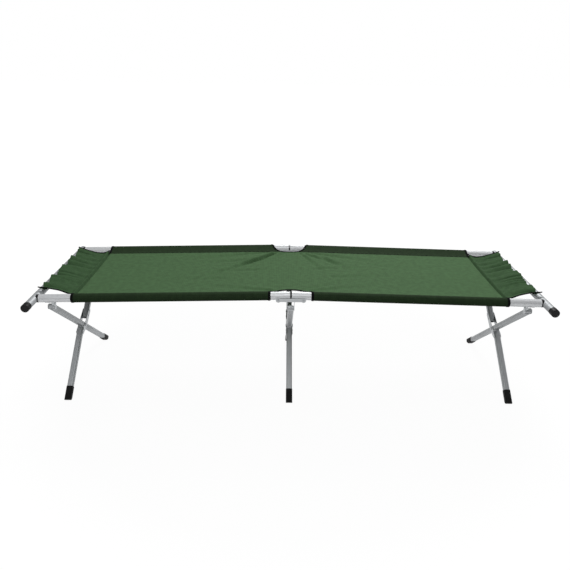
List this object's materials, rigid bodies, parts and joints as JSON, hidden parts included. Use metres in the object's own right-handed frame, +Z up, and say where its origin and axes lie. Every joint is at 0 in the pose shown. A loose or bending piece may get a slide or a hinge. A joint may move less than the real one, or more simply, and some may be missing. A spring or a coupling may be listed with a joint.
{
  "type": "folding cot",
  "caption": "Folding camp cot: a fabric deck stretched between hinged side rails on scissor leg frames, with pull-off end bars and rubber feet.",
  "frame": {"origin": "on the floor under the middle of the overall box, which lies 35.5 mm in front of the middle of the legs because each end bar reaches further past the front rail", "axes": "+X along the cot towards its right-hand end, +Y towards the back rail, +Z up"},
  "size_m": [1.9018, 0.639, 0.481],
  "materials": {
    "rail_tube": "mill-finished aluminium tube",
    "leg_tube": "drawn aluminium tube with shallow lengthwise grooves",
    "bar_tube": "mill-finished aluminium tube",
    "zinc_steel": "zinc-plated pressed steel",
    "rivet_steel": "plated steel rivets and bolts",
    "black_plastic": "moulded black plastic",
    "foot_rubber": "moulded black rubber",
    "deck_fabric": "stretched coated polyester",
    "sleeve_fabric": "hem of the same coated polyester"
  },
  "bodies": {
    "crossing": {"middle_crossing_bolt": "rivet_steel"},
    "through_leg": {"middle_through_leg": "leg_tube", "middle_back_foot": "foot_rubber"},
    "split_leg": {"middle_split_leg_upper": "leg_tube", "middle_split_leg_lower": "leg_tube", "middle_fork": "zinc_steel", "middle_front_foot": "foot_rubber"},
    "front_hinge": {"front_centre_hinge": "zinc_steel", "front_hinge_rivets": "rivet_steel", "middle_front_top_pin": "rivet_steel", "centre_deck": "deck_fabric"},
    "back_hinge": {"back_centre_hinge": "zinc_steel", "back_hinge_rivets": "rivet_steel", "middle_back_top_pin": "rivet_steel"},
    "left_front_rail": {"left_front_rail": "rail_tube", "left_front_rail_plugs": "black_plastic", "left_front_sleeve": "sleeve_fabric", "left_front_hip_saddle": "zinc_steel", "left_deck": "deck_fabric"},
    "left_front_hip": {"left_front_hip_swivel": "zinc_steel", "left_front_top_pin": "rivet_steel"},
    "left_back_rail": {"left_back_rail": "rail_tube", "left_back_rail_plugs": "black_plastic", "left_back_sleeve": "sleeve_fabric", "left_back_hip_saddle": "zinc_steel"},
    "left_back_hip": {"left_back_hip_swivel": "zinc_steel", "left_back_top_pin": "rivet_steel"},
    "left_through_leg": {"left_through_leg": "leg_tube", "left_back_foot": "foot_rubber"},
    "left_split_leg": {"left_split_leg_upper": "leg_tube", "left_split_leg_lower": "leg_tube", "left_fork": "zinc_steel", "left_crossing_bolt": "rivet_steel", "left_front_foot": "foot_rubber"},
    "left_bar": {"left_end_bar": "bar_tube", "left_bar_caps": "black_plastic"},
    "right_front_rail": {"right_front_rail": "rail_tube", "right_front_rail_plugs": "black_plastic", "right_front_sleeve": "sleeve_fabric", "right_front_hip_saddle": "zinc_steel", "right_deck": "deck_fabric"},
    "right_front_hip": {"right_front_hip_swivel": "zinc_steel", "right_front_top_pin": "rivet_steel"},
    "right_back_rail": {"right_back_rail": "rail_tube", "right_back_rail_plugs": "black_plastic", "right_back_sleeve": "sleeve_fabric", "right_back_hip_saddle": "zinc_steel"},
    "right_back_hip": {"right_back_hip_swivel": "zinc_steel", "right_back_top_pin": "rivet_steel"},
    "right_through_leg": {"right_through_leg": "leg_tube", "right_back_foot": "foot_rubber"},
    "right_split_leg": {"right_split_leg_upper": "leg_tube", "right_split_leg_lower": "leg_tube", "right_fork": "zinc_steel", "right_crossing_bolt": "rivet_steel", "right_front_foot": "foot_rubber"},
    "right_bar": {"right_end_bar": "bar_tube", "right_bar_caps": "black_plastic"}
  },
  "joints": [
    {"name": "scissor", "type": "hinge", "parent": "crossing", "child": "through_leg", "pos_m": [0, 0.0355, 0.2092], "axis": [-1, 0, 0], "range_deg": [0, 44.6], "deforming": ["left_deck", "right_deck", "centre_deck"]},
    {"name": "middle_split_swing", "type": "hinge", "parent": "crossing", "child": "split_leg", "pos_m": [0, 0.0355, 0.2092], "axis": [1, 0, 0], "range_deg": [0, 44.6]},
    {"name": "middle_front_top", "type": "hinge", "parent": "through_leg", "child": "front_hinge", "pos_m": [0, -0.2295, 0.416], "axis": [1, 0, 0], "range_deg": [0, 44.6]},
    {"name": "middle_back_top", "type": "hinge", "parent": "split_leg", "child": "back_hinge", "pos_m": [0, 0.3005, 0.416], "axis": [-1, 0, 0], "range_deg": [0, 44.6]},
    {"name": "rail_fold", "type": "hinge", "parent": "front_hinge", "child": "left_front_rail", "pos_m": [-0.046, -0.2295, 0.45395], "axis": [0, -1, 0], "range_deg": [0, 88.6]},
    {"name": "right_front_rail_fold", "type": "hinge", "parent": "front_hinge", "child": "right_front_rail", "pos_m": [0.046, -0.2295, 0.45395], "axis": [0, 1, 0], "range_deg": [0, 88.6]},
    {"name": "left_back_rail_fold", "type": "hinge", "parent": "back_hinge", "child": "left_back_rail", "pos_m": [-0.046, 0.3005, 0.45395], "axis": [0, -1, 0], "range_deg": [0, 88.6]},
    {"name": "right_back_rail_fold", "type": "hinge", "parent": "back_hinge", "child": "right_back_rail", "pos_m": [0.046, 0.3005, 0.45395], "axis": [0, 1, 0], "range_deg": [0, 88.6]},
    {"name": "left_front_hip_fold", "type": "hinge", "parent": "left_front_rail", "child": "left_front_hip", "pos_m": [-0.8685, -0.2295, 0.42469], "axis": [0, -1, 0], "range_deg": [0, 91.22]},
    {"name": "left_back_hip_fold", "type": "hinge", "parent": "left_back_rail", "child": "left_back_hip", "pos_m": [-0.8685, 0.3005, 0.42469], "axis": [0, -1, 0], "range_deg": [0, 91.22]},
    {"name": "left_front_top", "type": "hinge", "parent": "left_front_hip", "child": "left_through_leg", "pos_m": [-0.877, -0.2295, 0.4114], "axis": [-1, 0, 0], "range_deg": [0, 44.6]},
    {"name": "left_back_top", "type": "hinge", "parent": "left_back_hip", "child": "left_split_leg", "pos_m": [-0.877, 0.3005, 0.4114], "axis": [1, 0, 0], "range_deg": [0, 44.6]},
    {"name": "left_bar_slide", "type": "slide", "parent": "left_front_rail", "child": "left_bar", "axis": [-1, 0, 0], "range_m": [0, 0.045]},
    {"name": "right_front_hip_fold", "type": "hinge", "parent": "right_front_rail", "child": "right_front_hip", "pos_m": [0.8685, -0.2295, 0.42469], "axis": [0, 1, 0], "range_deg": [0, 91.22]},
    {"name": "right_back_hip_fold", "type": "hinge", "parent": "right_back_rail", "child": "right_back_hip", "pos_m": [0.8685, 0.3005, 0.42469], "axis": [0, 1, 0], "range_deg": [0, 91.22]},
    {"name": "right_front_top", "type": "hinge", "parent": "right_front_hip", "child": "right_through_leg", "pos_m": [0.877, -0.2295, 0.4114], "axis": [-1, 0, 0], "range_deg": [0, 44.6]},
    {"name": "right_back_top", "type": "hinge", "parent": "right_back_hip", "child": "right_split_leg", "pos_m": [0.877, 0.3005, 0.4114], "axis": [1, 0, 0], "range_deg": [0, 44.6]},
    {"name": "right_bar_slide", "type": "slide", "parent": "right_front_rail", "child": "right_bar", "axis": [1, 0, 0], "range_m": [0, 0.045]}
  ],
  "couplings": [
    {"joint": "middle_split_swing", "follows": "scissor", "ratio": 1},
    {"joint": "middle_front_top", "follows": "scissor", "ratio": 1},
    {"joint": "middle_back_top", "follows": "scissor", "ratio": 1},
    {"joint": "right_front_rail_fold", "follows": "rail_fold", "ratio": 1},
    {"joint": "left_back_rail_fold", "follows": "rail_fold", "ratio": 1},
    {"joint": "right_back_rail_fold", "follows": "rail_fold", "ratio": 1},
    {"joint": "left_front_hip_fold", "follows": "rail_fold", "ratio": 1.0295},
    {"joint": "left_back_hip_fold", "follows": "rail_fold", "ratio": 1.0295},
    {"joint": "left_front_top", "follows": "scissor", "ratio": 1},
    {"joint": "left_back_top", "follows": "scissor", "ratio": 1},
    {"joint": "right_front_hip_fold", "follows": "rail_fold", "ratio": 1.0295},
    {"joint": "right_back_hip_fold", "follows": "rail_fold", "ratio": 1.0295},
    {"joint": "right_front_top", "follows": "scissor", "ratio": 1},
    {"joint": "right_back_top", "follows": "scissor", "ratio": 1}
  ]
}
